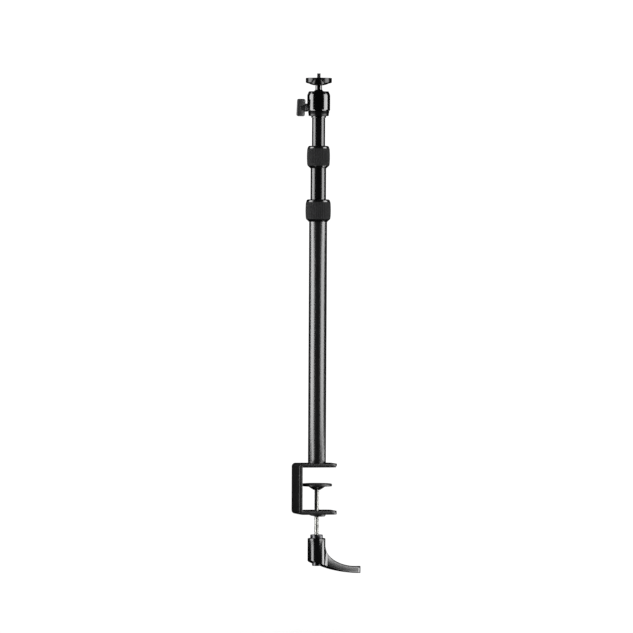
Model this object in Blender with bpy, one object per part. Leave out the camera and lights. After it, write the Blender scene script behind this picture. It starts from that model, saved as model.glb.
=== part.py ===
"""Telescopic desk-clamp stand for a webcam or a small camera.

Units are metres and +Z is up. The origin lies on the pole's axis, in the plane of the desk top,
where the upper jaw's rubber pad rests. The clamp's spine is at -X and its throat opens towards +X.
Each solid is one object; empties carry the pieces that move together and stand on their joints' axes.
"""
import math

import bmesh
import bpy
from mathutils import Matrix, Vector

# ---------------------------------------------------------------- clearances
GAP = 0.0003            # between two pieces that seat on each other
PLAY = 0.0004           # between a collar's lip and the tube it turns on
OVERRUN = 0.0020        # how far a cutting solid reaches past the solid it cuts
FAR = 0.0200            # well past a small piece on every side

# ---------------------------------------------------------------- clamp bracket
BRACKET_WIDTH = 0.0515  # along Y
SPINE_OUT_X = -0.0370
SPINE_THICK = 0.0061
UPPER_ARM_REACH = 0.0302
UPPER_ARM_THICK = 0.0046
JAW_PAD_THICK = 0.0015
JAW_PAD_INSET = 0.0012
THROAT_HEIGHT = 0.0724  # from the pad's underside to the lower arm
LOWER_ARM_THICK = 0.0063
BRACKET_CORNER_R = 0.0060
BRACKET_INNER_R = 0.0012
TIP_CORNER_R = 0.0105
ROOT_CORNER_R = 0.0010   # of the jaw pad, beside the spine
BOSS_HEIGHT = 0.0037
BOSS_R = 0.0152
BOSS_RAMP_X = -0.0046     # the boss's end slopes up towards the spine from here
BOSS_END_X = 0.0110

UPPER_ARM_BASE = JAW_PAD_THICK + GAP
UPPER_ARM_TOP = UPPER_ARM_BASE + UPPER_ARM_THICK
LOWER_ARM_TOP = -THROAT_HEIGHT
LOWER_ARM_BASE = LOWER_ARM_TOP - LOWER_ARM_THICK
BOSS_END = LOWER_ARM_BASE - BOSS_HEIGHT

# ---------------------------------------------------------------- pole
LOWER_TUBE_R = 0.0150
TUBE_STEP = 0.0020           # each tube runs in the one below it
MIDDLE_TUBE_R = LOWER_TUBE_R - TUBE_STEP
UPPER_TUBE_R = MIDDLE_TUBE_R - TUBE_STEP
TUBE_WALL = 0.0012
LOWER_LOCK_BASE = 0.4097     # underside of the lower twist collar
UPPER_LOCK_BASE = 0.4990     # underside of the upper twist collar
UPPER_TUBE_TOP = 0.5830
MIDDLE_TUBE_BASE = 0.0920
UPPER_TUBE_BASE = 0.1600

PLUG_LENGTH = 0.0200         # base plug inside the lower tube
BOLT_R = 0.0030
BOLT_HEAD_R = 0.0056
BOLT_HEAD_H = 0.0028
BOLT_REACH = 0.0140

GUIDE_SHANK = 0.0120         # guide bush inside its tube
GUIDE_FLANGE = 0.0055        # guide bush below its tube

# ---------------------------------------------------------------- twist locks
COLLAR_HEIGHT = 0.0374
GRIP_WALL = 0.0062           # from a tube's skin out to its collar's grip
LOWER_GRIP_R = LOWER_TUBE_R + GRIP_WALL
UPPER_GRIP_R = MIDDLE_TUBE_R + GRIP_WALL + 0.0001
COLLAR_CONE = 0.0052         # height of the tapered foot
COLLAR_SHOULDER = 0.0010     # how far the cone's end stays inside the grip
COLLAR_ROUND = 0.0045        # height of the rounded rim
COLLAR_CROWN = 0.0004        # bulge of the grip
COLLAR_RIM_DROP = 0.0036     # how far the rim curves in
LIP_HEIGHT = 0.0042          # solid foot: above it the cone is wider than the bore by a full wall
LIP_FLARE = 0.0008
CAP_THICK = 0.0049           # top of the collar, above the collet
LOCK_LIFT = 0.0010           # a collar's rise when it is unlocked
SLEEVE_WALL = 0.0021
SLEEVE_END = 0.0265
TUBE_END = 0.0205            # where the outer tube ends inside the collar
COLLET_FOOT_WALL = 0.0010
COLLET_HEAD_WALL = 0.0032
COLLET_RIM = 0.0016
COLLET_SPLIT = 0.0012

# ---------------------------------------------------------------- ball head
CAP_FLANGE_R = UPPER_TUBE_R + 0.0015
CAP_FLANGE_H = 0.0026
CAP_PLUG_DEPTH = 0.0180
CAP_STUD_R = 0.003175
CAP_STUD_H = 0.0080
HEAD_BASE_H = 0.0084
HEAD_R = 0.01915
HEAD_BASE_FOOT_R = HEAD_R - 0.00215
HEAD_BASE_TOP_R = HEAD_R - 0.0015
SPIGOT_H = 0.0013
CAVITY_R = HEAD_R - 0.00355
HOUSING_H = 0.0324
HOUSING_TAPER_H = 0.0070
HOUSING_TOP_R = HEAD_R - 0.00265
CAVITY_H = 0.0186            # straight part of the cavity
BALL_R = 0.0112
BALL_LIFT = 0.0251           # ball centre above the housing's foot
NECK_R = 0.0056
NECK_TOP = 0.0171            # above the ball's centre
SEAT_R = BALL_R + 0.0001
SEAT_HOLE_R = 0.0030
SEAT_RIM_DROP = 0.0055       # seat's rim below the ball's centre
SEAT_FOOT_DROP = 0.0204      # seat's foot below the ball's centre
SEAT_SLOPE = 0.8

# ---------------------------------------------------------------- wing knob
KNOB_LIFT = 0.0051           # axis above the housing's foot
KNOB_TURN = math.radians(-10)   # the wing's lean about its own axis
KNOB_SCREW_R = 0.0030
KNOB_SCREW_END = HEAD_R + 0.01085
SHOE_R = 0.0036
SHOE_NOSE = 0.0032
SHOE_BACK = CAVITY_R - 0.0019    # still clear of the cavity's wall when it is let go
KNOB_COLLAR_R = 0.00685
KNOB_COLLAR_H = 0.0041
KNOB_BOSS_R = 0.0055
KNOB_BOSS_END_R = 0.0035
KNOB_BOSS_H = 0.0090
WING_HEIGHT = 0.0290
WING_REACH = 0.0139
WING_THICK = 0.0050
WING_CORNER_R = 0.0028

# ---------------------------------------------------------------- camera plate
PLATE_R = 0.0218
PLATE_H = 0.0122
PLATE_HUB_R = 0.0080
PLATE_HEADING = math.radians(-19)   # first scoop, from -Y towards -X
SCOOP_COUNT = 3
SCOOP_TOP = 0.0030           # flange left above the scoops
SCOOP_HUB_R = 0.0095
SCOOP_R = 0.0094
SCOOP_FLARE = 0.0062
PAD_RING_R = PLATE_R - 0.0014
PAD_RING_HOLE_R = 0.0050
PAD_RING_H = 0.0008
PAD_RING_PROUD = 0.0002
STUD_R = 0.003175
STUD_PROUD = 0.0077
STUD_DEPTH = 0.0080

# ---------------------------------------------------------------- clamp screw and lever
PRESS_PAD_R = 0.0254
PRESS_PAD_DROP = 0.0275      # pad's top below the desk-top plane
PRESS_RUBBER_H = 0.0015
PRESS_RUBBER_PROUD = 0.0005
PRESS_RIM_W = 0.0010
PRESS_RIM_H = 0.0040
PRESS_CONE_R = 0.0135
PRESS_CONE_H = 0.0062
SCREW_R = 0.0040
PRESS_CONE_END_R = SCREW_R + 0.0015
SWIVEL_R = SCREW_R + 0.0006
SWIVEL_H = 0.0022
SWIVEL_LIP = 0.0012
INSERT_TOP = -0.1130
INSERT_COLLAR_R = 0.0105
INSERT_COLLAR_H = 0.0056
INSERT_SHANK_R = 0.0080
INSERT_SHANK_H = 0.0124
TOOTH_COUNT = 20
TOOTH_TIP_R = 0.0092
TOOTH_HEIGHT = 0.0035        # along Z
LEVER_HUB_R = 0.0149
LEVER_HEADING = math.radians(18)   # one tooth of the insert
LEVER_REACH = 0.0877
LEVER_HUB_H = 0.0376         # down to the slanted foot's high side
LEVER_FOOT_SLOPE = 0.360
LEVER_DROP = 0.0230          # from the foot's high side down to the tip
LEVER_WIDTH = 0.0190
LEVER_TAPER = 0.059          # how fast the half width falls with the distance
LEVER_TIP_H = 0.0118
LEVER_TIP_CORNER_R = 0.0030
ARM_ROOT = 0.0033            # how far the arm starts inside the hub's edge
LEVER_WEB_TOP = 0.0144       # below the hub's top
LEVER_WEB_H = 0.0060
RETAINER_R = 0.0073
RETAINER_SHANK_R = 0.0025
RETAINER_HEAD_TOP = -0.1500
RETAINER_END = -0.1652
RETAINER_SHANK_H = 0.0290
SPRING_MEAN_R = 0.0058
SPRING_WIRE_R = 0.0006
SPRING_TURNS = 4

SIDES = 36
SMALL_SIDES = 20


# ---------------------------------------------------------------- helpers
def clear_scene():
    for old in list(bpy.data.objects):
        bpy.data.objects.remove(old, do_unlink=True)


def finish(name, color, roughness, metallic):
    made = bpy.data.materials.new(name)
    made.use_nodes = True
    shader = made.node_tree.nodes["Principled BSDF"]
    shader.inputs["Base Color"].default_value = (*color, 1.0)
    shader.inputs["Roughness"].default_value = roughness
    shader.inputs["Metallic"].default_value = metallic
    return made


def pivot(name, place=(0, 0, 0), turn=(0, 0, 0), parent=None):
    """An empty on a joint's axis, which carries the pieces that move with it."""
    empty = bpy.data.objects.new(name, None)
    bpy.context.collection.objects.link(empty)
    empty.parent = parent
    empty.location = place
    empty.rotation_euler = turn
    return empty


def add_object(name, bm, surface, place, parent, turn=(0, 0, 0)):
    bmesh.ops.recalc_face_normals(bm, faces=bm.faces)
    mesh = bpy.data.meshes.new(name)
    bm.to_mesh(mesh)
    bm.free()
    mesh.shade_smooth()
    mesh.set_sharp_from_angle(angle=math.radians(32))
    if surface:
        mesh.materials.append(surface)
    made = bpy.data.objects.new(name, mesh)
    bpy.context.collection.objects.link(made)
    made.parent = parent
    made.location = place
    made.rotation_euler = turn
    return made


def turned(name, outline, surface, place=(0, 0, 0), parent=None, sides=SIDES):
    """Spin an outline of (radius, height) points about Z: a solid if it starts on the axis, else a ring."""
    bm = bmesh.new()
    points = [bm.verts.new((radius, 0, height)) for radius, height in outline]
    solid = outline[0][0] == 0
    pairs = zip(points, points[1:] if solid else points[1:] + points[:1])
    edges = [bm.edges.new(pair) for pair in pairs]
    bmesh.ops.spin(bm, geom=points + edges, cent=(0, 0, 0), axis=(0, 0, 1), angle=2 * math.pi,
                   steps=sides, use_merge=True)
    bmesh.ops.remove_doubles(bm, verts=bm.verts, dist=1e-6)
    return add_object(name, bm, surface, place, parent)


def prism(name, outline, axis, start, end, surface=None, place=(0, 0, 0), parent=None, turn=(0, 0, 0)):
    """Extrude a flat outline from start to end along Y (outline in X, Z) or Z (outline in X, Y)."""
    bm = bmesh.new()
    if axis == "Y":
        corners = [bm.verts.new((u, start, v)) for u, v in outline]
        along = Vector((0, end - start, 0))
    else:
        corners = [bm.verts.new((u, v, start)) for u, v in outline]
        along = Vector((0, 0, end - start))
    face = bm.faces.new(corners)
    grown = bmesh.ops.extrude_face_region(bm, geom=[face])
    bmesh.ops.translate(bm, verts=[v for v in grown["geom"] if isinstance(v, bmesh.types.BMVert)], vec=along)
    return add_object(name, bm, surface, place, parent, turn)


def boolean(target, tool, operation):
    step = target.modifiers.new(f"{operation.lower()} {tool.name}", "BOOLEAN")
    step.operation = operation
    step.solver = "EXACT"
    step.object = tool
    tool.hide_render = True
    tool.display_type = "WIRE"


def arc(center, radius, start_deg, end_deg, steps):
    """Points on an arc, both ends included."""
    points = []
    for step in range(steps + 1):
        angle = math.radians(start_deg + (end_deg - start_deg) * step / steps)
        points.append((center[0] + radius * math.cos(angle), center[1] + radius * math.sin(angle)))
    return points


def tube_outline(inner, outer, base, top):
    return [(inner, base), (outer, base), (outer, top), (inner, top)]


def rod_outline(radius, base, top):
    return [(0, base), (radius, base), (radius, top), (0, top)]


# ---------------------------------------------------------------- clamp
def rounded_outline(corners):
    """Outline through (x, y, radius) corners, each rounded by an arc of 6 steps."""
    points = []
    for index, (x, y, radius) in enumerate(corners):
        here = Vector((x, y))
        if radius == 0:
            points.append((x, y))
            continue
        before = (Vector(corners[index - 1][:2]) - here).normalized()
        after = (Vector(corners[(index + 1) % len(corners)][:2]) - here).normalized()
        half = before.angle(after) / 2
        start = here + before * radius / math.tan(half)
        end = here + after * radius / math.tan(half)
        center = here + (before + after).normalized() * radius / math.sin(half)
        for step in range(7):
            point = start.lerp(end, step / 6) - center
            points.append(tuple(center + point.normalized() * radius))
    return points


def make_bracket(surface):
    spine_in = SPINE_OUT_X + SPINE_THICK
    reach = UPPER_ARM_REACH
    side = rounded_outline([
        (reach, UPPER_ARM_BASE, 0), (reach, UPPER_ARM_TOP, 0),
        (SPINE_OUT_X, UPPER_ARM_TOP, BRACKET_CORNER_R), (SPINE_OUT_X, LOWER_ARM_BASE, BRACKET_CORNER_R),
        (reach, LOWER_ARM_BASE, 0), (reach, LOWER_ARM_TOP, 0),
        (spine_in, LOWER_ARM_TOP, BRACKET_INNER_R), (spine_in, UPPER_ARM_BASE, BRACKET_INNER_R)])
    half = BRACKET_WIDTH / 2
    bracket = prism("clamp_bracket", side, "Y", -half, half, surface)
    plan = rounded_outline([
        (SPINE_OUT_X - FAR, -half, 0), (reach, -half, TIP_CORNER_R),
        (reach, half, TIP_CORNER_R), (SPINE_OUT_X - FAR, half, 0)])
    boolean(bracket, prism("bracket_plan", plan, "Z", BOSS_END - FAR, UPPER_ARM_TOP + FAR), "INTERSECT")
    boss = turned("screw_boss", rod_outline(BOSS_R, BOSS_END, LOWER_ARM_BASE + OVERRUN), None)
    ramps = [(-BOSS_R - OVERRUN, LOWER_ARM_BASE), (-BOSS_R, LOWER_ARM_BASE), (BOSS_RAMP_X, BOSS_END),
             (BOSS_END_X, BOSS_END), (BOSS_R, LOWER_ARM_BASE), (BOSS_R + OVERRUN, LOWER_ARM_BASE),
             (BOSS_R + OVERRUN, LOWER_ARM_BASE + FAR), (-BOSS_R - OVERRUN, LOWER_ARM_BASE + FAR)]
    boolean(boss, prism("boss_ramps", ramps, "Y", -FAR, FAR), "INTERSECT")
    boolean(bracket, boss, "UNION")
    boolean(bracket, turned("screw_bore", rod_outline(SCREW_R + GAP, BOSS_END - FAR, LOWER_ARM_TOP + OVERRUN),
                            None, sides=SMALL_SIDES), "DIFFERENCE")
    head = BOLT_HEAD_R + GAP
    boolean(bracket, turned("bolt_bore", [
        (0, UPPER_ARM_BASE - OVERRUN), (head, UPPER_ARM_BASE - OVERRUN), (head, UPPER_ARM_BASE + BOLT_HEAD_H + GAP),
        (BOLT_R + GAP, UPPER_ARM_BASE + BOLT_HEAD_H + GAP), (BOLT_R + GAP, UPPER_ARM_TOP + OVERRUN),
        (0, UPPER_ARM_TOP + OVERRUN)], None, sides=SMALL_SIDES), "DIFFERENCE")
    return bracket


def make_clamp(metal, rubber, steel, plastic):
    make_bracket(metal)
    spine_in = SPINE_OUT_X + SPINE_THICK
    half = BRACKET_WIDTH / 2 - JAW_PAD_INSET
    corner = TIP_CORNER_R - JAW_PAD_INSET
    tip = UPPER_ARM_REACH - JAW_PAD_INSET
    root = spine_in + JAW_PAD_INSET
    prism("jaw_pad", rounded_outline([(root, -half, ROOT_CORNER_R), (tip, -half, corner), (tip, half, corner),
                                      (root, half, ROOT_CORNER_R)]), "Z", 0, JAW_PAD_THICK, rubber)
    bolt_base = UPPER_ARM_BASE
    turned("pole_bolt", [
        (0, bolt_base), (BOLT_HEAD_R, bolt_base), (BOLT_HEAD_R, bolt_base + BOLT_HEAD_H),
        (BOLT_R, bolt_base + BOLT_HEAD_H), (BOLT_R, UPPER_ARM_TOP + BOLT_REACH), (0, UPPER_ARM_TOP + BOLT_REACH)],
        steel, sides=SMALL_SIDES)
    foot = UPPER_ARM_TOP + GAP
    turned("base_plug", tube_outline(BOLT_R + GAP, LOWER_TUBE_R - TUBE_WALL - GAP, foot, foot + PLUG_LENGTH), plastic)


# ---------------------------------------------------------------- pole
def make_tube(name, radius, base, top, surface, parent):
    turned(name, tube_outline(radius - TUBE_WALL, radius, 0, top - base), surface, (0, 0, base), parent)


def make_guide(name, tube_radius, outer_tube_radius, tube_base, surface, parent):
    """A bush plugged into a tube's foot, with a flange that runs in the tube outside it."""
    flange_r = outer_tube_radius - TUBE_WALL - GAP
    shank_r = tube_radius - TUBE_WALL - GAP
    hole_r = shank_r - 0.0020
    turned(name, [
        (hole_r, 0), (flange_r, 0), (flange_r, GUIDE_FLANGE), (shank_r, GUIDE_FLANGE),
        (shank_r, GUIDE_FLANGE + GUIDE_SHANK), (hole_r, GUIDE_FLANGE + GUIDE_SHANK)],
        surface, (0, 0, tube_base - GUIDE_FLANGE - GAP), parent)


def make_twist_lock(prefix, outer_r, inner_r, grip_r, base, matte, collar_pivot, fixed_pivot, collet_pivot):
    """Threaded sleeve on the outer tube, split collet on the inner tube and the collar that squeezes it."""
    sleeve_r = outer_r + GAP + SLEEVE_WALL
    collet_in = inner_r + GAP
    foot_r = collet_in + COLLET_FOOT_WALL
    head_r = collet_in + COLLET_HEAD_WALL
    collet_base = TUBE_END + GAP
    cap_base = COLLAR_HEIGHT - CAP_THICK
    collet_top = cap_base - GAP
    cone_top = collet_top - COLLET_RIM
    slope = (head_r - foot_r) / (cone_top - collet_base)
    seat_r = foot_r + slope * (SLEEVE_END - collet_base) + 2 * GAP
    sleeve_base = LIP_HEIGHT + LOCK_LIFT + GAP

    turned(prefix + "_lock_sleeve", [
        (outer_r + GAP, sleeve_base), (sleeve_r, sleeve_base), (sleeve_r, SLEEVE_END),
        (seat_r, SLEEVE_END), (outer_r + GAP, collet_base + GAP)], matte, (0, 0, base), fixed_pivot)
    collet = turned(prefix + "_collet", [
        (collet_in, collet_base), (foot_r, collet_base), (head_r, cone_top), (head_r, collet_top),
        (collet_in, collet_top)], matte, (0, 0, base), collet_pivot)
    half = COLLET_SPLIT / 2
    slit = prism(prefix + "_collet_slit", [(0, -half), (grip_r, -half), (grip_r, half), (0, half)], "Z",
                 0, COLLAR_HEIGHT, place=(0, 0, base), parent=collet_pivot)
    boolean(collet, slit, "DIFFERENCE")

    lip_r = outer_r + LIP_FLARE
    bore_r = max(sleeve_r, head_r) + GAP
    grip_top = COLLAR_HEIGHT - COLLAR_ROUND
    outside = [(lip_r, 0), (grip_r - COLLAR_CROWN - COLLAR_SHOULDER, COLLAR_CONE * 0.75)]
    crown_steps = 4
    for step in range(crown_steps + 1):
        share = step / crown_steps
        height = COLLAR_CONE + (grip_top - COLLAR_CONE) * share
        outside.append((grip_r - COLLAR_CROWN * (2 * share - 1) ** 2, height))
    rim_steps = 3
    for step in range(1, rim_steps + 1):
        angle = math.pi / 2 * step / rim_steps
        radius = grip_r - COLLAR_CROWN - COLLAR_RIM_DROP * (1 - math.cos(angle))
        outside.append((radius, grip_top + COLLAR_ROUND * math.sin(angle)))
    inside = [(inner_r + PLAY, COLLAR_HEIGHT), (inner_r + PLAY, cap_base), (bore_r, cap_base),
              (bore_r, LIP_HEIGHT), (outer_r + PLAY, LIP_HEIGHT), (outer_r + PLAY, 0)]
    turned(prefix + "_collar", outside + inside, matte, (0, 0, base), collar_pivot)


# ---------------------------------------------------------------- ball head
def sphere_points(radius, start_z, end_z, steps, center=0.0):
    """Points (r, z) on a ball's outline between two heights that are measured from its centre."""
    start = math.asin(start_z / radius)
    end = math.asin(end_z / radius)
    points = []
    for step in range(steps + 1):
        angle = start + (end - start) * step / steps
        points.append((radius * math.cos(angle), center + radius * math.sin(angle)))
    return points


def make_head(paint, matte, steel, nylon, head, cup, ball, shoe, knob):
    base_z = UPPER_TUBE_TOP + GAP + CAP_FLANGE_H + GAP
    foot_z = base_z + HEAD_BASE_H + GAP
    ball_z = foot_z + BALL_LIFT
    flange_z = UPPER_TUBE_TOP + GAP
    plug_r = UPPER_TUBE_R - TUBE_WALL - GAP
    turned("tube_cap", [
        (0, flange_z - CAP_PLUG_DEPTH), (plug_r, flange_z - CAP_PLUG_DEPTH), (plug_r, flange_z),
        (CAP_FLANGE_R, flange_z), (CAP_FLANGE_R, flange_z + CAP_FLANGE_H), (CAP_STUD_R, flange_z + CAP_FLANGE_H),
        (CAP_STUD_R, base_z + CAP_STUD_H), (0, base_z + CAP_STUD_H)], paint, parent=head)
    spigot_r = CAVITY_R - GAP
    turned("head_base", [
        (CAP_STUD_R + GAP, 0), (HEAD_BASE_FOOT_R - 0.0005, 0), (HEAD_BASE_FOOT_R, 0.0005),
        (HEAD_BASE_FOOT_R + 0.0001, HEAD_BASE_H * 0.6), (HEAD_BASE_TOP_R, HEAD_BASE_H * 0.8),
        (HEAD_BASE_TOP_R, HEAD_BASE_H), (spigot_r, HEAD_BASE_H),
        (spigot_r, HEAD_BASE_H + SPIGOT_H), (CAP_STUD_R + GAP, HEAD_BASE_H + SPIGOT_H)],
        paint, (0, 0, base_z), head)

    ball_gap_r = BALL_R + GAP
    mouth = HOUSING_H - BALL_LIFT
    taper_z = HOUSING_H - HOUSING_TAPER_H
    hollow = sphere_points(ball_gap_r, -0.0030, mouth, 4, BALL_LIFT)
    housing = turned("ball_housing", [
        (CAVITY_R, 0), (HEAD_R - 0.0004, 0), (HEAD_R, 0.0006), (HEAD_R, taper_z), (HEAD_R - 0.0007, taper_z + 0.0026),
        (HOUSING_TOP_R + 0.0006, HOUSING_H - 0.0012), (HOUSING_TOP_R, HOUSING_H), *reversed(hollow),
        (CAVITY_R, CAVITY_H)], paint, (0, 0, foot_z), head)
    knob_z = foot_z + KNOB_LIFT
    cross = pivot("knob_bore_axis", (0, 0, knob_z), (0, -math.pi / 2, 0), head)
    bore = turned("knob_bore", rod_outline(KNOB_SCREW_R + GAP, CAVITY_R - OVERRUN, HEAD_R + OVERRUN), None, parent=cross,
                  sides=SMALL_SIDES)
    boolean(housing, bore, "DIFFERENCE")

    cup.location = (0, 0, ball_z)
    rim = sphere_points(ball_gap_r, -SEAT_RIM_DROP, -math.sqrt(ball_gap_r ** 2 - SEAT_HOLE_R ** 2), 4)
    cone_top = -SEAT_FOOT_DROP + SEAT_SLOPE * (SEAT_R - SEAT_HOLE_R)
    turned("ball_seat", [
        (SEAT_HOLE_R, -SEAT_FOOT_DROP), (SEAT_R, cone_top), (SEAT_R, -SEAT_RIM_DROP), *rim], nylon, parent=cup)
    neck_z = math.sqrt(BALL_R ** 2 - NECK_R ** 2)
    dome = sphere_points(BALL_R, -BALL_R, neck_z, 9)
    thread_r = STUD_R + GAP
    stem_top = NECK_TOP
    well = stem_top - STUD_DEPTH - GAP
    turned("ball_stem", [(0, -BALL_R), *dome[1:], (NECK_R, stem_top), (thread_r, stem_top), (thread_r, well), (0, well)],
           paint, parent=ball)

    make_wing_knob(matte, steel, knob_z, shoe, knob, knob_z - ball_z)


def make_wing_knob(matte, steel, knob_z, shoe_pivot, knob_pivot, below_ball):
    shoe_pivot.location = (0, 0, knob_z)
    shoe_pivot.rotation_euler = (0, -math.pi / 2, 0)
    shoe = turned("brake_shoe", rod_outline(SHOE_R, SHOE_NOSE, SHOE_BACK), steel, parent=shoe_pivot, sides=SMALL_SIDES)
    # Everything above the seat's cone is cut away; heights here are along local X, which is up.
    lift = -SEAT_FOOT_DROP - below_ball - 1.3 * GAP
    wedge = prism("shoe_wedge", [
        (lift + SEAT_SLOPE * (-FAR - SEAT_HOLE_R), -FAR), (lift + SEAT_SLOPE * (FAR - SEAT_HOLE_R), FAR),
        (FAR, -FAR)], "Y", -FAR, FAR, parent=shoe_pivot)
    boolean(shoe, wedge, "DIFFERENCE")

    turned("knob_screw", rod_outline(KNOB_SCREW_R, SHOE_BACK + GAP, KNOB_SCREW_END), steel, parent=knob_pivot,
           sides=SMALL_SIDES)
    face = HEAD_R + PLAY
    wing_base = face + KNOB_COLLAR_H
    boss_end = wing_base + KNOB_BOSS_H
    well_r = KNOB_SCREW_R + GAP
    wing_top = wing_base + WING_REACH
    half = WING_HEIGHT / 2
    wing_outline = rounded_outline([
        (-half, wing_base, WING_CORNER_R), (half, wing_base, WING_CORNER_R), (half, wing_top, WING_CORNER_R),
        (-half, wing_top, WING_CORNER_R)])
    knob = prism("lock_knob", wing_outline, "Y", -WING_THICK / 2, WING_THICK / 2, matte, parent=knob_pivot,
                 turn=(0, 0, KNOB_TURN))
    hub = turned("knob_hub", [
        (0, face), (KNOB_COLLAR_R, face), (KNOB_COLLAR_R, wing_base), (KNOB_BOSS_R, wing_base + 0.0004),
        (KNOB_BOSS_END_R, boss_end), (0, boss_end)], None, parent=knob_pivot, sides=32)
    boolean(knob, hub, "UNION")
    well = turned("knob_well", rod_outline(well_r, face - OVERRUN, KNOB_SCREW_END + GAP), None, parent=knob_pivot,
                  sides=SMALL_SIDES)
    boolean(knob, well, "DIFFERENCE")


# ---------------------------------------------------------------- camera plate
def make_plate(metal, rubber, steel, ball, plate):
    base = NECK_TOP + GAP
    recess = PLATE_H - PAD_RING_H + PAD_RING_PROUD - GAP
    stud_hole = STUD_R + GAP
    disc = turned("top_plate", [
        (stud_hole, 0), (PLATE_HUB_R, 0), (0.0125, 0.0011), (0.0164, 0.0027), (PLATE_R - 0.0006, 0.0040),
        (PLATE_R, 0.0048), (PLATE_R, PLATE_H - 0.0005), (PLATE_R - 0.0005, PLATE_H), (PAD_RING_R + GAP, PLATE_H),
        (PAD_RING_R + GAP, recess), (stud_hole, recess)], metal, (0, 0, base), plate)
    for index in range(SCOOP_COUNT):
        heading = -math.pi / 2 + PLATE_HEADING + index * 2 * math.pi / SCOOP_COUNT
        cutter = make_scoop(f"scoop_{index + 1}", heading, base, plate)
        boolean(disc, cutter, "DIFFERENCE")
    turned("plate_pad", tube_outline(PAD_RING_HOLE_R, PAD_RING_R, recess + GAP, recess + GAP + PAD_RING_H), rubber,
           (0, 0, base), plate)
    stud_base = NECK_TOP - STUD_DEPTH
    turned("camera_stud", [
        (0, stud_base), (STUD_R, stud_base), (STUD_R, base + PLATE_H + STUD_PROUD - 0.0006),
        (STUD_R - 0.0006, base + PLATE_H + STUD_PROUD), (0, base + PLATE_H + STUD_PROUD)], steel, parent=ball,
        sides=SMALL_SIDES)


def make_scoop(name, heading, base, plate):
    """A finger scoop: a cone that flares downwards and just touches the plate's inner hub."""
    bm = bmesh.new()
    top = PLATE_H - SCOOP_TOP
    rings = []
    for height, radius in ((top, SCOOP_R), (-0.001, SCOOP_R + SCOOP_FLARE)):
        circle = bmesh.ops.create_circle(bm, cap_ends=True, radius=radius, segments=32)
        bmesh.ops.translate(bm, verts=circle["verts"], vec=(SCOOP_HUB_R + radius, 0, height))
        rings.append(circle["verts"])
    for face in list(bm.faces):
        bmesh.ops.delete(bm, geom=[face], context="FACES_ONLY")
    bmesh.ops.bridge_loops(bm, edges=bm.edges[:])
    bmesh.ops.holes_fill(bm, edges=bm.edges[:], sides=0)
    bmesh.ops.rotate(bm, verts=bm.verts[:], cent=(0, 0, 0), matrix=Matrix.Rotation(heading, 3, "Z"))
    return add_object(name, bm, None, (0, 0, base), plate)


# ---------------------------------------------------------------- clamp screw, pressure pad and lever
def make_press_pad(metal, rubber, carriage):
    rim_top = -PRESS_PAD_DROP - PRESS_RUBBER_PROUD
    rubber_base = -PRESS_PAD_DROP - PRESS_RUBBER_H
    floor = rubber_base - GAP
    well_r = PRESS_PAD_R - PRESS_RIM_W
    rim_base = rim_top - PRESS_RIM_H
    cone_end = rim_base - PRESS_CONE_H
    pocket_r = SWIVEL_R + GAP
    pocket_top = rim_base - 0.0006
    lip_top = cone_end + SWIVEL_LIP
    turned("pressure_pad", [
        (0, floor), (well_r, floor), (well_r, rim_top), (PRESS_PAD_R, rim_top), (PRESS_PAD_R, rim_base + 0.0005),
        (PRESS_PAD_R - 0.0005, rim_base), (PRESS_CONE_R, rim_base), (PRESS_CONE_END_R + 0.0045, cone_end + 0.0028),
        (PRESS_CONE_END_R, cone_end), (SCREW_R + GAP, cone_end), (SCREW_R + GAP, lip_top), (pocket_r, lip_top),
        (pocket_r, pocket_top), (0, pocket_top)], metal, parent=carriage)
    turned("pressure_pad_rubber", rod_outline(well_r - GAP, rubber_base, -PRESS_PAD_DROP), rubber, parent=carriage)
    return pocket_top, lip_top


def toothed_ring(root_r, tip_r, count):
    """Outline of a serrated ring, as (x, y) points."""
    points = []
    for index in range(count * 2):
        radius = tip_r if index % 2 else root_r
        angle = math.pi * index / count
        points.append((radius * math.cos(angle), radius * math.sin(angle)))
    return points


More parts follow.
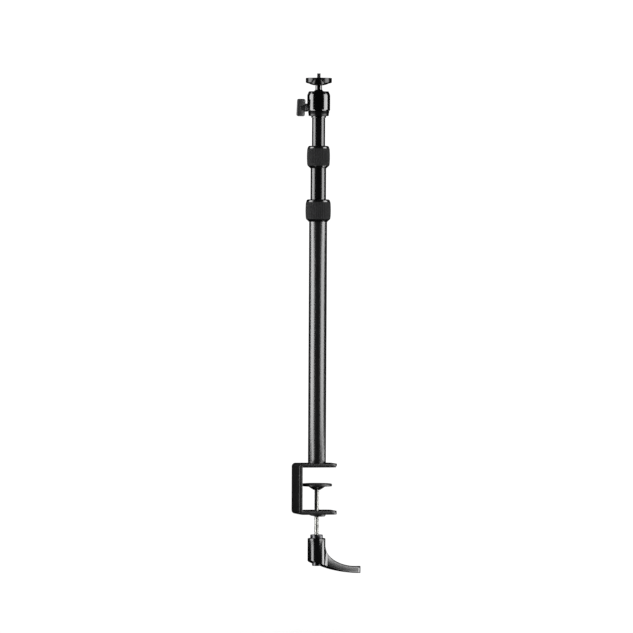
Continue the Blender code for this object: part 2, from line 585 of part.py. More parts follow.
def make_spindle(steel, metal, spindle, pocket_top, lip_top):
    swivel_top = pocket_top - GAP
    swivel_base = swivel_top - SWIVEL_H
    neck_r = SCREW_R - 0.0008
    neck_end = lip_top - SWIVEL_LIP - GAP
    insert_end = INSERT_TOP - INSERT_COLLAR_H - INSERT_SHANK_H
    tap_r = RETAINER_SHANK_R + GAP
    tap_end = RETAINER_HEAD_TOP + RETAINER_SHANK_H + GAP
    turned("clamp_screw", [
        (0, tap_end), (tap_r, tap_end), (tap_r, insert_end + GAP), (SCREW_R, insert_end + GAP), (SCREW_R, neck_end),
        (neck_r, neck_end), (neck_r, swivel_base), (SWIVEL_R, swivel_base), (SWIVEL_R, swivel_top - 0.0006),
        (SWIVEL_R - 0.0006, swivel_top), (0, swivel_top)], steel, parent=spindle, sides=32)
    collar_base = INSERT_TOP - INSERT_COLLAR_H
    bore = SCREW_R + GAP
    insert = turned("lever_insert", [
        (bore, insert_end), (INSERT_SHANK_R, insert_end), (INSERT_SHANK_R, collar_base),
        (INSERT_COLLAR_R, collar_base), (INSERT_COLLAR_R, INSERT_TOP - 0.0005), (INSERT_COLLAR_R - 0.0005, INSERT_TOP),
        (bore, INSERT_TOP)], steel, parent=spindle)
    teeth = prism("insert_teeth", toothed_ring(INSERT_SHANK_R - 0.0004, TOOTH_TIP_R, TOOTH_COUNT), "Z",
                  insert_end, insert_end + TOOTH_HEIGHT, parent=spindle)
    boolean(teeth, turned("teeth_bore", rod_outline(bore + 0.0010, insert_end - 0.001, insert_end + TOOTH_HEIGHT + 0.001),
                          None, parent=spindle), "DIFFERENCE")
    boolean(insert, teeth, "UNION")
    turned("retaining_screw", [
        (0, RETAINER_END), (RETAINER_R - 0.0010, RETAINER_END), (RETAINER_R, RETAINER_END + 0.0010),
        (RETAINER_R, RETAINER_HEAD_TOP), (RETAINER_SHANK_R, RETAINER_HEAD_TOP),
        (RETAINER_SHANK_R, RETAINER_HEAD_TOP + RETAINER_SHANK_H), (0, RETAINER_HEAD_TOP + RETAINER_SHANK_H)],
        metal, parent=spindle, sides=32)
    return insert_end


def lever_hub_outline(hub_top):
    """Side view of the lever's hub in X, Z: a block with a slanted foot, wider than the hub."""
    wide = LEVER_HUB_R + OVERRUN
    middle = hub_top - LEVER_HUB_H - LEVER_FOOT_SLOPE * LEVER_HUB_R
    return [(-wide, hub_top), (-wide, middle + LEVER_FOOT_SLOPE * wide),
            (wide, middle - LEVER_FOOT_SLOPE * wide), (wide, hub_top)]


def lever_arm_outline(hub_top):
    """Side view of the lever's arm in X, Z: it starts inside the hub and sweeps down and out to the tip."""
    foot_left = hub_top - LEVER_HUB_H
    tip_base = foot_left - LEVER_DROP
    tip_top = tip_base + LEVER_TIP_H
    heel_z = foot_left - LEVER_FOOT_SLOPE * 2 * LEVER_HUB_R
    inside = LEVER_HUB_R - ARM_ROOT
    under = bezier((LEVER_HUB_R, heel_z), (0.0330, heel_z - 0.0065), (0.0600, tip_base + 0.0002),
                   (LEVER_REACH, tip_base), 8)
    over = bezier((LEVER_REACH, tip_top), (0.0500, tip_top - 0.0013), (0.0160, hub_top - 0.0356),
                  (inside, hub_top - 0.0145), 10)
    return [(inside, heel_z + LEVER_FOOT_SLOPE * ARM_ROOT), *under, *over]


def bezier(start, first, second, end, steps):
    points = []
    for step in range(steps + 1):
        t = step / steps
        weights = ((1 - t) ** 3, 3 * t * (1 - t) ** 2, 3 * t * t * (1 - t), t ** 3)
        points.append(tuple(sum(w * p[axis] for w, p in zip(weights, (start, first, second, end))) for axis in (0, 1)))
    return points


def lever_arm_plan():
    """Plan view of the lever's arm in X, Y: it narrows from the hub to a rounded tip."""
    arm_start = LEVER_HUB_R + 0.0028
    half = LEVER_WIDTH / 2
    side = [(LEVER_HUB_R - ARM_ROOT - OVERRUN, half), (arm_start, half)]
    corner = LEVER_TIP_CORNER_R
    steps = 8
    for step in range(1, steps + 1):
        along = (LEVER_REACH - corner - arm_start) * step / steps
        side.append((arm_start + along, half - LEVER_TAPER * along))
    tip_half = side[-1][1]
    side += arc((LEVER_REACH - corner, tip_half - corner), corner, 72, 0, 4)
    return [(x, -y) for x, y in side] + list(reversed(side))


def make_lever(metal, steel, lever, insert_end):
    hub_top = INSERT_TOP - INSERT_COLLAR_H - GAP
    deep = hub_top - 0.070
    handle = turned("lever_handle", rod_outline(LEVER_HUB_R, deep, hub_top), metal, parent=lever)
    boolean(handle, prism("lever_foot_cut", lever_hub_outline(hub_top), "Y", -FAR, FAR, parent=lever), "INTERSECT")
    arm = prism("lever_arm", lever_arm_outline(hub_top), "Y", -FAR, FAR, parent=lever)
    boolean(arm, prism("lever_arm_plan", lever_arm_plan(), "Z", deep, hub_top + OVERRUN, parent=lever), "INTERSECT")
    boolean(handle, arm, "UNION")
    web_top = hub_top - LEVER_WEB_TOP
    web_base = web_top - LEVER_WEB_H
    pocket = turned("tooth_pocket", rod_outline(TOOTH_TIP_R + GAP, insert_end + TOOTH_HEIGHT + GAP, hub_top + 0.001),
                    None, parent=lever)
    boolean(handle, pocket, "DIFFERENCE")
    mesh_ring = prism("tooth_mesh", toothed_ring(INSERT_SHANK_R + GAP, TOOTH_TIP_R + 1.5 * GAP, TOOTH_COUNT), "Z",
                      web_top, insert_end + TOOTH_HEIGHT + 0.001, parent=lever)
    boolean(handle, mesh_ring, "DIFFERENCE")
    through = turned("shank_hole", rod_outline(RETAINER_SHANK_R + 0.0007, web_base - 0.001, web_top + 0.001), None,
                     parent=lever, sides=SMALL_SIDES)
    boolean(handle, through, "DIFFERENCE")
    well = turned("retainer_well", rod_outline(RETAINER_R + GAP, deep, web_base), None, parent=lever)
    boolean(handle, well, "DIFFERENCE")
    make_spring(steel, lever, web_base - GAP - SPRING_WIRE_R, RETAINER_HEAD_TOP + GAP + SPRING_WIRE_R)


def make_spring(steel, parent, top, base):
    path = bpy.data.curves.new("return_spring", "CURVE")
    path.dimensions = "3D"
    path.bevel_depth = SPRING_WIRE_R
    path.bevel_resolution = 1
    path.use_fill_caps = True
    per_turn = 12
    count = SPRING_TURNS * per_turn + 1
    wire = path.splines.new("POLY")
    wire.points.add(count - 1)
    for index in range(count):
        angle = 2 * math.pi * index / per_turn
        height = base + (top - base) * index / (count - 1)
        wire.points[index].co = (SPRING_MEAN_R * math.cos(angle), SPRING_MEAN_R * math.sin(angle), height, 1)
    path.materials.append(steel)
    spring = bpy.data.objects.new("return_spring", path)
    bpy.context.collection.objects.link(spring)
    spring.parent = parent


# ---------------------------------------------------------------- assembly
def main():
    clear_scene()
    anodised = finish("black_anodised", (0.012, 0.012, 0.014), 0.22, 1.0)
    coated = finish("black_coated_metal", (0.020, 0.020, 0.022), 0.38, 0.6)
    steel = finish("bright_steel", (0.55, 0.55, 0.54), 0.25, 1.0)
    rubber = finish("black_rubber", (0.020, 0.020, 0.020), 0.80, 0.0)
    plastic = finish("black_plastic", (0.018, 0.018, 0.019), 0.45, 0.0)
    nylon = finish("grey_nylon", (0.30, 0.30, 0.30), 0.55, 0.0)

    clamp = pivot("clamp_frame")
    lower_collet = pivot("lower_collet_slide", parent=clamp)
    lower_collar = pivot("lower_collar_axis", parent=lower_collet)
    middle_slide = pivot("middle_slide", parent=clamp)
    middle = pivot("middle_tube_axis", parent=middle_slide)
    upper_collet = pivot("upper_collet_slide", parent=middle)
    upper_collar = pivot("upper_collar_axis", parent=upper_collet)
    upper_slide = pivot("upper_slide", parent=middle)
    head = pivot("head_axis", parent=upper_slide)
    shoe = pivot("shoe_slide", parent=head)
    knob = pivot("knob_axis", parent=shoe)
    cup = pivot("ball_cup_axis", parent=head)
    ball = pivot("ball_tilt_axis", parent=cup)
    plate = pivot("plate_axis", parent=ball)
    carriage = pivot("screw_carriage")
    spindle = pivot("spindle_axis", parent=carriage)
    lever = pivot("lever_slide", turn=(0, 0, LEVER_HEADING), parent=spindle)

    make_clamp(coated, rubber, steel, plastic)
    make_tube("lower_tube", LOWER_TUBE_R, UPPER_ARM_TOP + GAP, LOWER_LOCK_BASE + TUBE_END, anodised, clamp)
    make_twist_lock("lower", LOWER_TUBE_R, MIDDLE_TUBE_R, LOWER_GRIP_R, LOWER_LOCK_BASE, plastic,
                    lower_collar, clamp, lower_collet)
    make_guide("middle_guide", MIDDLE_TUBE_R, LOWER_TUBE_R, MIDDLE_TUBE_BASE, nylon, middle_slide)
    make_tube("middle_tube", MIDDLE_TUBE_R, MIDDLE_TUBE_BASE, UPPER_LOCK_BASE + TUBE_END, anodised, middle)
    make_twist_lock("upper", MIDDLE_TUBE_R, UPPER_TUBE_R, UPPER_GRIP_R, UPPER_LOCK_BASE, plastic,
                    upper_collar, middle, upper_collet)
    make_guide("upper_guide", UPPER_TUBE_R, MIDDLE_TUBE_R, UPPER_TUBE_BASE, nylon, upper_slide)
    make_tube("upper_tube", UPPER_TUBE_R, UPPER_TUBE_BASE, UPPER_TUBE_TOP, anodised, head)
    make_head(anodised, plastic, steel, nylon, head, cup, ball, shoe, knob)
    make_plate(anodised, rubber, steel, ball, plate)
    pocket_top, lip_top = make_press_pad(coated, rubber, carriage)
    insert_end = make_spindle(steel, coated, spindle, pocket_top, lip_top)
    make_lever(anodised, steel, lever, insert_end)


main()
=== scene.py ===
# %% [markdown]
# # A telescopic desk-clamp stand
#
# The stand holds a webcam or a small camera over a desk. A C-clamp grips the desk, a pole in three
# tubes slides out of it, two ribbed collars lock the tubes, and a small ball head carries the camera.
# The engineering model is loaded first and stays fixed. Everything that a viewer sees is then modelled
# again over it, at the same sizes, with rounded edges, threads, ribs and worked-out finishes.

# %% Load the frame
import math

import bmesh
import bpy
from mathutils import Matrix, Vector


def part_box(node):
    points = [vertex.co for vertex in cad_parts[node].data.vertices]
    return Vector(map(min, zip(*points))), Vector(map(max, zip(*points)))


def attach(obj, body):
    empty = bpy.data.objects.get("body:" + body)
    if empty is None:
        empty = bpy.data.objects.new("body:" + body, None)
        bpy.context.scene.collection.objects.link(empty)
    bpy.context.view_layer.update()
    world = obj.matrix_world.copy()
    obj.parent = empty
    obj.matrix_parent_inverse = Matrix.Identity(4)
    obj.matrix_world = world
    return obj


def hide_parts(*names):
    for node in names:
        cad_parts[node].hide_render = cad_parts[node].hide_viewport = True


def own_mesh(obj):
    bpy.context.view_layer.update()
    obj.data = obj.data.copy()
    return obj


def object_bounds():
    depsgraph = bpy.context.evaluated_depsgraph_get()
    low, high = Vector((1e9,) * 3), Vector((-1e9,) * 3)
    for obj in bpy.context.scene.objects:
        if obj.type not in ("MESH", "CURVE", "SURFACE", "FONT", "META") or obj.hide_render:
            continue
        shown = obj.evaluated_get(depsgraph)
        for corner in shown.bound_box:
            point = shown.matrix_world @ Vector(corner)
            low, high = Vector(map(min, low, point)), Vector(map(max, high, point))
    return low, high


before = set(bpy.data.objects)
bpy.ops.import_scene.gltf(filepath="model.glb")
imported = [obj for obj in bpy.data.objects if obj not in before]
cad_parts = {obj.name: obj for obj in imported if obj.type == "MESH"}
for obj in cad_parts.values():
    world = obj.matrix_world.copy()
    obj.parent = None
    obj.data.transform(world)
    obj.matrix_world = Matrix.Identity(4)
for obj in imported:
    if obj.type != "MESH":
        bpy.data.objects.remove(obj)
cad_low, cad_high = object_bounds()

# %% [markdown]
# ## The camera
#
# A product photograph of a tall thin object is taken with a long lens from far away, so that the tubes
# stay parallel. The camera stands ten metres away and to the left of the clamp's open side, at about the
# height of the pole's middle, and it is rolled by a third of a degree.

# %% Camera
VIEW_AZIMUTH = math.radians(-15.0)
VIEW_DISTANCE = 10.0
VIEW_HEIGHT = 0.42
VIEW_WIDTH = 1.0571          # how much of the scene the picture's width spans, at the pole
VIEW_ROLL = math.radians(0.288)
AIM_HEIGHT = 0.2515
AIM_SHIFT = -0.0019
SENSOR = 36.0

to_camera = Vector((math.sin(VIEW_AZIMUTH), -math.cos(VIEW_AZIMUTH), 0))
to_right = Vector((math.cos(VIEW_AZIMUTH), math.sin(VIEW_AZIMUTH), 0))
eye = to_camera * VIEW_DISTANCE + Vector((0, 0, VIEW_HEIGHT))
aim = to_right * AIM_SHIFT + Vector((0, 0, AIM_HEIGHT))

camera_data = bpy.data.cameras.new("camera")
camera_data.sensor_width = SENSOR
camera_data.lens = SENSOR * (eye - aim).length / VIEW_WIDTH
camera_data.clip_start = 0.1
camera_data.clip_end = 100.0
camera = bpy.data.objects.new("camera", camera_data)
bpy.context.scene.collection.objects.link(camera)
camera.location = eye
look = (aim - eye).to_track_quat("-Z", "Y").to_matrix().to_4x4()
camera.matrix_world = Matrix.Translation(eye) @ look @ Matrix.Rotation(VIEW_ROLL, 4, "Z")
bpy.context.scene.camera = camera
print("lens:", round(camera_data.lens, 1), "mm")

# %% [markdown]
# ## Shared tools
#
# Nearly every piece of this stand is turned on a lathe or moulded round, so one helper spins an outline
# about an axis. Real edges are never sharp: a second helper rounds the corners of an outline first, and
# those small rounds are what catches the light.

# %% Outline helpers
FULL_TURN = 2 * math.pi
ROUND_STEPS = 4


def rounded(corners, closed=True, steps=ROUND_STEPS):
    """Replace each (x, y, radius) corner by an arc; a radius of 0 keeps the corner."""
    points = []
    count = len(corners)
    for index, (x, y, radius) in enumerate(corners):
        here = Vector((x, y))
        at_end = not closed and index in (0, count - 1)
        if radius == 0 or at_end:
            points.append((x, y))
            continue
        before = (Vector(corners[index - 1][:2]) - here)
        after = (Vector(corners[(index + 1) % count][:2]) - here)
        half = before.angle(after) / 2
        reach = min(radius / math.tan(half), 0.49 * before.length, 0.49 * after.length)
        radius = reach * math.tan(half)
        start = here + before.normalized() * reach
        end = here + after.normalized() * reach
        center = here + (before.normalized() + after.normalized()).normalized() * radius / math.sin(half)
        for step in range(steps + 1):
            spoke = start.lerp(end, step / steps) - center
            points.append(tuple(center + spoke.normalized() * radius))
    return points


def bezier(start, first, second, end, steps):
    points = []
    for step in range(steps + 1):
        t = step / steps
        weights = ((1 - t) ** 3, 3 * t * (1 - t) ** 2, 3 * t * t * (1 - t), t ** 3)
        knots = (start, first, second, end)
        points.append(tuple(sum(w * knot[axis] for w, knot in zip(weights, knots)) for axis in (0, 1)))
    return points


# %% Mesh helpers
SHARP_ANGLE = math.radians(28)


def spun(outline, sides):
    """A bmesh of an outline of (radius, height) points, turned once about Z."""
    bm = bmesh.new()
    points = [bm.verts.new((radius, 0, height)) for radius, height in outline]
    on_axis = outline[0][0] == 0
    following = points[1:] if on_axis else points[1:] + points[:1]
    edges = [bm.edges.new(pair) for pair in zip(points, following)]
    bmesh.ops.spin(bm, geom=points + edges, cent=(0, 0, 0), axis=(0, 0, 1), angle=FULL_TURN,
                   steps=sides, use_merge=True)
    bmesh.ops.remove_doubles(bm, verts=bm.verts[:], dist=1e-7)
    bmesh.ops.recalc_face_normals(bm, faces=bm.faces[:])
    return bm


def prism(outline, start, end, axis="Z"):
    """A bmesh of a flat outline, extruded along Z (outline in X, Y) or Y (outline in X, Z)."""
    bm = bmesh.new()
    if axis == "Z":
        corners = [bm.verts.new((u, v, start)) for u, v in outline]
        along = Vector((0, 0, end - start))
    else:
        corners = [bm.verts.new((u, start, v)) for u, v in outline]
        along = Vector((0, end - start, 0))
    face = bm.faces.new(corners)
    grown = bmesh.ops.extrude_face_region(bm, geom=[face])
    bmesh.ops.translate(bm, verts=[v for v in grown["geom"] if isinstance(v, bmesh.types.BMVert)], vec=along)
    bmesh.ops.recalc_face_normals(bm, faces=bm.faces[:])
    return bm


def soften(bm, width, angle=30, segments=2):
    """Bevel the edges that turn by more than an angle."""
    limit = math.radians(angle)
    edges = [e for e in bm.edges if e.is_manifold and e.calc_face_angle(0) > limit]
    bmesh.ops.bevel(bm, geom=edges, offset=width, offset_type="OFFSET", segments=segments, profile=0.5,
                    affect="EDGES", material=-1, clamp_overlap=True)


def as_object(name, bm, surface=None):
    mesh = bpy.data.meshes.new(name)
    bm.to_mesh(mesh)
    bm.free()
    mesh.shade_smooth()
    mesh.set_sharp_from_angle(angle=SHARP_ANGLE)
    if surface:
        mesh.materials.append(surface)
    made = bpy.data.objects.new(name, mesh)
    bpy.context.scene.collection.objects.link(made)
    return made


def combine(target, tool, operation):
    """Apply an exact Boolean to target and throw the tool away."""
    step = target.modifiers.new(operation, "BOOLEAN")
    step.operation = operation
    step.solver = "EXACT"
    step.object = tool
    graph = bpy.context.evaluated_depsgraph_get()
    result = bpy.data.meshes.new_from_object(target.evaluated_get(graph))
    target.modifiers.clear()
    target.data = result
    result.shade_smooth()
    result.set_sharp_from_angle(angle=SHARP_ANGLE)
    bpy.data.objects.remove(tool, do_unlink=True)
    return target


def fit(piece, body, slot, *nodes):
    """Tell the frame which body carries a piece, and hide the plain solids that it stands for; the finish slot is
    not used.
    """
    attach(piece, body)
    if nodes:
        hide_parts(*nodes)
    print(piece.name, len(piece.data.polygons), "faces")
    return piece


# %% [markdown]
# ## Finishes
#
# Everything is black, so the finishes differ only in how they take the light. The tubes are drawn
# aluminium with a satin anodised skin, the head is glossier, the clamp has a fine powder coat, the collars
# and knob are moulded plastic with a spark-eroded grain, and the clamp screw is bright zinc.

# %% Material helpers


def new_finish(name, roughness, metallic=0.0, specular=0.5):
    made = bpy.data.materials.new(name)
    made.use_nodes = True
    shader = made.node_tree.nodes["Principled BSDF"]
    shader.inputs["Roughness"].default_value = roughness
    shader.inputs["Metallic"].default_value = metallic
    shader.inputs["Specular IOR Level"].default_value = specular
    return made, made.node_tree, shader


def noise_on_object(tree, scale, detail=3.0, stretch=(1, 1, 1)):
    """A noise pattern on Object coordinates, in features per metre."""
    place = tree.nodes.new("ShaderNodeTexCoord")
    mapping = tree.nodes.new("ShaderNodeMapping")
    mapping.inputs["Scale"].default_value = stretch
    noise = tree.nodes.new("ShaderNodeTexNoise")
    noise.inputs["Scale"].default_value = scale
    noise.inputs["Detail"].default_value = detail
    tree.links.new(place.outputs["Object"], mapping.inputs["Vector"])
    tree.links.new(mapping.outputs["Vector"], noise.inputs["Vector"])
    return noise.outputs["Fac"]


def ramp(tree, source, low, high):
    """Turn a pattern's middle range into a range of colours (or greys)."""
    made = tree.nodes.new("ShaderNodeValToRGB")
    for element, position, color in zip(made.color_ramp.elements, (0.3, 0.7), (low, high)):
        element.position = position
        element.color = (*color, 1)
    tree.links.new(source, made.inputs["Fac"])
    return made.outputs["Color"]


def add_bump(tree, shader, height, strength, distance):
    bump = tree.nodes.new("ShaderNodeBump")
    bump.inputs["Strength"].default_value = strength
    bump.inputs["Distance"].default_value = distance
    tree.links.new(height, bump.inputs["Height"])
    tree.links.new(bump.outputs["Normal"], shader.inputs["Normal"])


def grey(value):
    return (value, value, value * 1.06)


def mottled(name, colors, roughness, spread, grain, cloud_scale, bump, specular=0.5, metallic=0.0):
    """A finish whose colour drifts in soft clouds, while a fine grain varies its roughness and its surface.

    colors: the clouds' two ends. spread: the roughness's two ends. grain: the fine noise's scale, detail
    and stretch. bump: strength and distance.
    """
    made, tree, shader = new_finish(name, roughness, metallic, specular)
    fine = noise_on_object(tree, *grain)
    cloud = noise_on_object(tree, cloud_scale, 2.0)
    tree.links.new(ramp(tree, cloud, *colors), shader.inputs["Base Color"])
    tree.links.new(ramp(tree, fine, *map(grey, spread)), shader.inputs["Roughness"])
    add_bump(tree, shader, fine, *bump)
    return made


# %% Drawn and anodised aluminium
# Drawing leaves faint lines along the tube, so the noise is squeezed to long streaks along Z.
TUBE_STREAKS = (1, 1, 0.015)


def anodised_tube(name, roughness, specular, base):
    return mottled(name, (grey(base * 0.8), grey(base * 1.2)), roughness, (roughness * 0.9, roughness * 1.12),
                   (900, 4.0, TUBE_STREAKS), 40, (0.04, 0.0002), specular)


tube_satin = anodised_tube("tube_satin", 0.25, 0.50, 0.0050)
tube_fine = anodised_tube("tube_fine", 0.17, 0.33, 0.0022)

# %% Gloss and satin finishes of the ball head
HEAD_BUMP = (0.03, 0.0001)
head_gloss = mottled("head_gloss", (grey(0.0008), grey(0.0016)), 0.13, (0.11, 0.15), (1400, 2.0), 60, HEAD_BUMP)


def satin_head(name, roughness, specular):
    return mottled(name, (grey(0.0012), grey(0.0022)), roughness, (roughness * 0.9, roughness * 1.15),
                   (1600, 2.0), 60, HEAD_BUMP, specular)


plate_satin = satin_head("plate_satin", 0.22, 0.20)
ring_satin = satin_head("ring_satin", 0.20, 0.14)
ring_shade = satin_head("ring_shade", 0.30, 0.02)

# %% Powder coat of the clamp, and the lever's smoother coat
clamp_coat = mottled("clamp_powder_coat", (grey(0.0050), grey(0.0080)), 0.36, (0.31, 0.41), (1700, 3.0), 70,
                     (0.25, 0.0003), 0.30)
lever_coat = mottled("lever_coat", (grey(0.0020), grey(0.0040)), 0.16, (0.14, 0.19), (900, 2.0), 50,
                     (0.06, 0.0003), 0.42)


# %% Moulded plastic and rubber
def grained_plastic(name, low, high, roughness, grain, strength, specular=0.3):
    return mottled(name, (low, high), roughness, (roughness * 0.88, min(roughness * 1.15, 1)), (grain, 4.0), 80,
                   (strength, 0.0003), specular)


lock_plastic = grained_plastic("lock_plastic", grey(0.0085), grey(0.0115), 0.75, 2600, 0.20, 0.08)
lock_gloss = grained_plastic("lock_gloss", grey(0.0020), grey(0.0035), 0.20, 1200, 0.04, 0.45)
knob_plastic = grained_plastic("knob_plastic", grey(0.0090), grey(0.0130), 0.33, 2200, 0.10, 0.4)
black_rubber = grained_plastic("black_rubber", grey(0.0090), grey(0.0130), 0.78, 1800, 0.35)
nylon = grained_plastic("natural_nylon", (0.30, 0.29, 0.27), (0.36, 0.35, 0.33), 0.50, 1500, 0.10)


# %% Bright zinc and black oxide
def plated_steel(name, low, high, roughness):
    return mottled(name, (low, high), roughness, (roughness * 0.8, roughness * 1.25), (1500, 4.0, (1, 1, 3)), 120,
                   (0.05, 0.0001), metallic=1.0)


bright_zinc = plated_steel("bright_zinc", (0.30, 0.30, 0.29), (0.42, 0.42, 0.40), 0.34)
black_oxide = plated_steel("black_oxide", grey(0.030), grey(0.050), 0.30)

# %% Finishes on the inner pieces, which keep their plain solids
INNER_FINISHES = {
    "pole_bolt": bright_zinc, "base_plug": nylon, "middle_guide": nylon, "upper_guide": nylon,
    "lower_collet": nylon, "upper_collet": nylon, "lower_lock_sleeve": lock_plastic,
    "upper_lock_sleeve": lock_plastic, "ball_seat": nylon, "brake_shoe": bright_zinc,
    "knob_screw": bright_zinc, "return_spring": bright_zinc,
}
for node, surface in INNER_FINISHES.items():
    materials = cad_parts[node].data.materials
    materials.clear()
    materials.append(surface)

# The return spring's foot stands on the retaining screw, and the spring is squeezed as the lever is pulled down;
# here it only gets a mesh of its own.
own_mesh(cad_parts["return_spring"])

# %% [markdown]
# ## The pole
#
# Three aluminium tubes slide in each other. A tube's wall is thin and its end is lightly chamfered, so
# the outline is a thin ring with four small rounds, and a fine spin keeps the long highlights smooth.

# %% Tubes
TUBE_WALL = 0.0012
TUBE_SIDES = 128


def make_tube(node, body, surface):
    low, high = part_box(node)
    outer = (high[0] - low[0]) / 2
    inner = outer - TUBE_WALL
    edge = 0.0003
    outline = rounded([(inner, low[2], edge), (outer, low[2], edge), (outer, high[2], edge),
                       (inner, high[2], edge)])
    return fit(as_object(node + "_skin", spun(outline, TUBE_SIDES), surface), body, "anodised_tube", node)


make_tube("lower_tube", "clamp", tube_satin)
make_tube("middle_tube", "middle_tube", tube_fine)
make_tube("upper_tube", "head", tube_fine)

# %% [markdown]
# ## The twist collars
#
# Each collar is a moulded nut. Its top rim is polished and round, its foot tapers, and the grip between
# them is matte and finely ribbed. The body is spun, and the ribs are then cut by moving each point of the
# grip inwards by a wave around the axis, faded out towards the grip's ends.

# %% Collars
RIB_COUNT = 44
RIB_FACETS = 6
RIB_DEPTH = 0.00050
RIB_FADE = 0.0012
LIP_PLAY = 0.0004
LIP_HEIGHT = 0.0042
GRIP_WALL = 0.0030
CAP_THICK = 0.0049
CROWN = 0.0006          # how much the grip bulges
CREASE = 0.0007         # how far the grip's ends lie inside its widest radius
RIM_INSET = 0.0012
RIM_STEP = 0.0004
GRIP_ROWS = 10
RIM_ROWS = 8


def make_collar(node, body, tube_outer, grain_start, foot, shoulder, rim_start, rim_drop, neck):
    """foot and shoulder: where the tapered foot ends, as a height and a radius. grain_start: the matte
    skin's lower end. rim_start and rim_drop: the rounded top's height and depth. neck: the top bore."""
    low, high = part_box(node)
    base, height = low[2], high[2] - low[2]
    grip = (high[0] - low[0]) / 2
    grip_top = height - rim_start
    outer = [(tube_outer + 0.0007, 0.0), (tube_outer + 0.0017, 0.0012), (shoulder, foot - 0.0009),
             (grip - CREASE, foot + 0.0006)]
    for row in range(1, GRIP_ROWS):
        share = row / GRIP_ROWS
        outer.append((grip - CROWN * (2 * share - 1) ** 2, foot + (grip_top - foot) * share))
    outer += [(grip - CREASE, grip_top), (grip - RIM_INSET, grip_top + RIM_STEP)]
    for row in range(1, RIM_ROWS + 1):
        angle = math.pi / 2 * row / RIM_ROWS
        outer.append((grip - RIM_INSET - rim_drop * (1 - math.cos(angle)),
                      grip_top + RIM_STEP + (rim_start - RIM_STEP) * math.sin(angle)))
    bore = grip - GRIP_WALL
    inside = [(neck, height), (neck, height - CAP_THICK), (bore, height - CAP_THICK), (bore, LIP_HEIGHT),
              (tube_outer + LIP_PLAY, LIP_HEIGHT), (tube_outer + LIP_PLAY, 0)]
    bm = spun([(radius, base + z) for radius, z in outer + inside], RIB_COUNT * RIB_FACETS)
    on_skin = bore + 0.0005
    for vert in bm.verts:
        radius = math.hypot(vert.co.x, vert.co.y)
        z = vert.co.z - base
        if radius < on_skin or not foot < z < grip_top:
            continue
        strength = min(min(z - foot, grip_top - z) / RIB_FADE, 1.0)
        wave = 0.5 - 0.5 * math.cos(RIB_COUNT * math.atan2(vert.co.y, vert.co.x))
        scale = 1 - RIB_DEPTH * strength * wave / radius
        vert.co.x *= scale
        vert.co.y *= scale
    made = as_object(node + "_ribbed", bm, lock_gloss)
    made.data.materials.append(lock_plastic)
    for face in made.data.polygons:
        x, y, z = face.center
        if math.hypot(x, y) > on_skin and grain_start < z - base < grip_top + 0.0008:
            face.material_index = 1
    return fit(made, body, "lock_plastic", node)


# The lower collar is matte down to its base; the lower half of the upper one's foot is polished.
make_collar("lower_collar", "lower_collar", 0.0150, -0.0010, 0.0052, 0.0200, 0.0047, 0.0036, 0.0134)
make_collar("upper_collar", "upper_collar", 0.0130, 0.0026, 0.0052, 0.0180, 0.0046, 0.0034, 0.0114)

# %% [markdown]
# ## The clamp body
#
# The clamp is bent from one thick steel strip, so it is modelled in the way that it is made: its side
# profile is extruded to the full width, and a rounded plan outline trims the two tips. A small bevel
# on every edge stands for the tumbled edge under the powder coat. The boss that takes the screw's
# thread is turned and joined to the lower arm.

# %% Clamp body
body_low, body_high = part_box("clamp_bracket")
SPINE_X, REACH_X = body_low[0], body_high[0]
HALF_WIDTH = body_high[1]
UPPER_TOP = body_high[2]
UPPER_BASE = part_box("jaw_pad")[1][2] + 0.0003
LOWER_TOP = -0.0724
LOWER_BASE = LOWER_TOP - 0.0063
SPINE_IN_X = SPINE_X + 0.0061
BOSS_END = body_low[2]
OUTER_CORNER_R = 0.0060
TIP_R = 0.0105
SCREW_R = 0.0040
FIT_GAP = 0.0003

side = rounded([
    (REACH_X, UPPER_BASE, 0), (REACH_X, UPPER_TOP, 0), (SPINE_X, UPPER_TOP, OUTER_CORNER_R),
    (SPINE_X, LOWER_BASE, OUTER_CORNER_R), (REACH_X, LOWER_BASE, 0), (REACH_X, LOWER_TOP, 0),
    (SPINE_IN_X, LOWER_TOP, 0.0012), (SPINE_IN_X, UPPER_BASE, 0.0012)], steps=12)
clamp_body = as_object("clamp_body", prism(side, -HALF_WIDTH, HALF_WIDTH, "Y"), clamp_coat)
plan = rounded([(SPINE_X - 0.01, -HALF_WIDTH, 0), (REACH_X, -HALF_WIDTH, TIP_R), (REACH_X, HALF_WIDTH, TIP_R),
                (SPINE_X - 0.01, HALF_WIDTH, 0)], steps=10)
combine(clamp_body, as_object("clamp_plan", prism(plan, BOSS_END - 0.01, UPPER_TOP + 0.01)), "INTERSECT")


def soften_object(target, width, angle=30, segments=2):
    bm = bmesh.new()
    bm.from_mesh(target.data)
    bmesh.ops.dissolve_limit(bm, angle_limit=math.radians(0.5), verts=bm.verts[:], edges=bm.edges[:])
    soften(bm, width, angle, segments)
    bm.to_mesh(target.data)
    bm.free()
    target.data.shade_smooth()
    target.data.set_sharp_from_angle(angle=math.radians(40))


soften_object(clamp_body, 0.0011, 40, 4)

